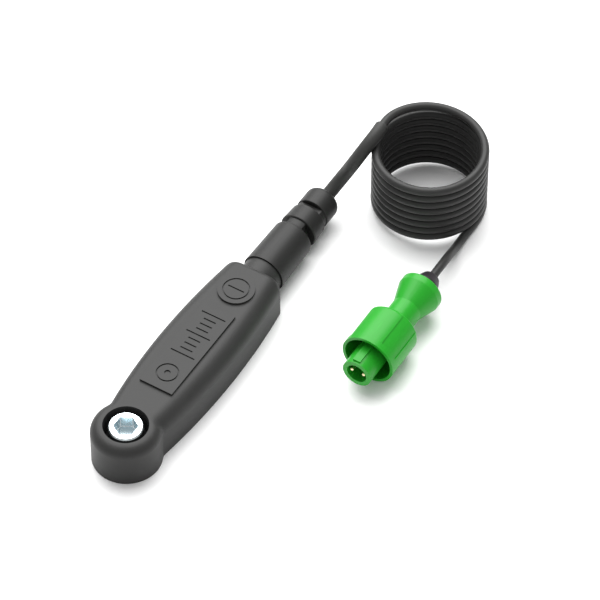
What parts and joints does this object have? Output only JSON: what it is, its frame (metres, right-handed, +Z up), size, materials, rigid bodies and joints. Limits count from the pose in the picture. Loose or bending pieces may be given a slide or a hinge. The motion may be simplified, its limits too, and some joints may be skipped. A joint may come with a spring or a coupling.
{
  "type": "cabled sensor probe",
  "caption": "Bolt-on black sensor probe with a round mounting eye, a finned strain relief boot, a coiled thin cable and a green plug with a coupling ring and pins.",
  "frame": {"origin": "centre of the mounting eye's threaded hole, in the plane of the flat base", "axes": "+X along the probe from the eye to the cable outlet, +Z up out of the flat base, +Y completes the right-handed frame"},
  "size_m": [0.152, 0.0617, 0.0282],
  "materials": {
    "housing_plastic": "fine-grained moulded black plastic",
    "cover_plastic": "plain moulded dark plastic",
    "sealant": "cured sealant bead",
    "zinc_steel": "zinc plated steel",
    "black_steel": "blackened steel",
    "bush_steel": "turned steel",
    "board": "green solder mask",
    "ferrite": "sintered ferrite",
    "bobbin_plastic": "natural nylon",
    "copper": "enamelled copper winding",
    "chip_plastic": "moulded package",
    "can_aluminium": "drawn can",
    "resin": "poured resin",
    "cable_rubber": "smooth extruded jacket",
    "wire_red": "wire insulation",
    "wire_white": "wire insulation",
    "seal_rubber": "soft seal rubber",
    "boot_rubber": "moulded rubber with a dull sheen",
    "crimp_brass": "drawn brass",
    "plug_green": "bright green moulded plastic",
    "gold": "gold plated contact",
    "clip_steel": "spring steel"
  },
  "bodies": {
    "probe": {"upper_housing": "housing_plastic", "base_cover": "cover_plastic", "cover_seal": "sealant", "compression_bush": "bush_steel", "circuit_board": "board", "ferrite_core": "ferrite", "coil_bobbin": "bobbin_plastic", "sensing_winding": "copper", "amplifier_chip": "chip_plastic", "surface_components": "chip_plastic", "filter_capacitor": "can_aluminium", "potting_fill": "resin", "inner_cable": "cable_rubber", "housing_crimp": "crimp_brass", "signal_wire": "wire_red", "ground_wire": "wire_white", "spigot_seal": "seal_rubber", "strain_relief_boot": "boot_rubber", "cable_lead": "cable_rubber", "cable_sleeve": "boot_rubber", "cable_coil": "cable_rubber", "cable_tail": "cable_rubber", "plug_grommet": "seal_rubber", "plug_shell": "plug_green", "plug_insulator": "plug_green", "contact_pin_1": "gold", "contact_pin_2": "gold", "ring_retainer": "clip_steel", "plug_seal": "seal_rubber", "plug_conductors": "wire_white", "plug_cable": "cable_rubber", "plug_crimp": "crimp_brass"},
    "washer": {"washer": "black_steel"},
    "sleeve_nut": {"sleeve_nut": "zinc_steel"},
    "coupling_ring": {"coupling_ring": "plug_green"}
  },
  "joints": [
    {"name": "washer_lift", "type": "slide", "parent": "probe", "child": "washer", "axis": [0, 0, 1], "range_m": [0, 0.016]},
    {"name": "nut_turn", "type": "hinge", "parent": "washer", "child": "sleeve_nut", "pos_m": [0, 0, 0.0072], "axis": [0, 0, 1], "continuous": true},
    {"name": "ring_turn", "type": "hinge", "parent": "probe", "child": "coupling_ring", "pos_m": [0.0664, -0.0425, 0.0082], "axis": [1, 0, 0], "continuous": true}
  ]
}
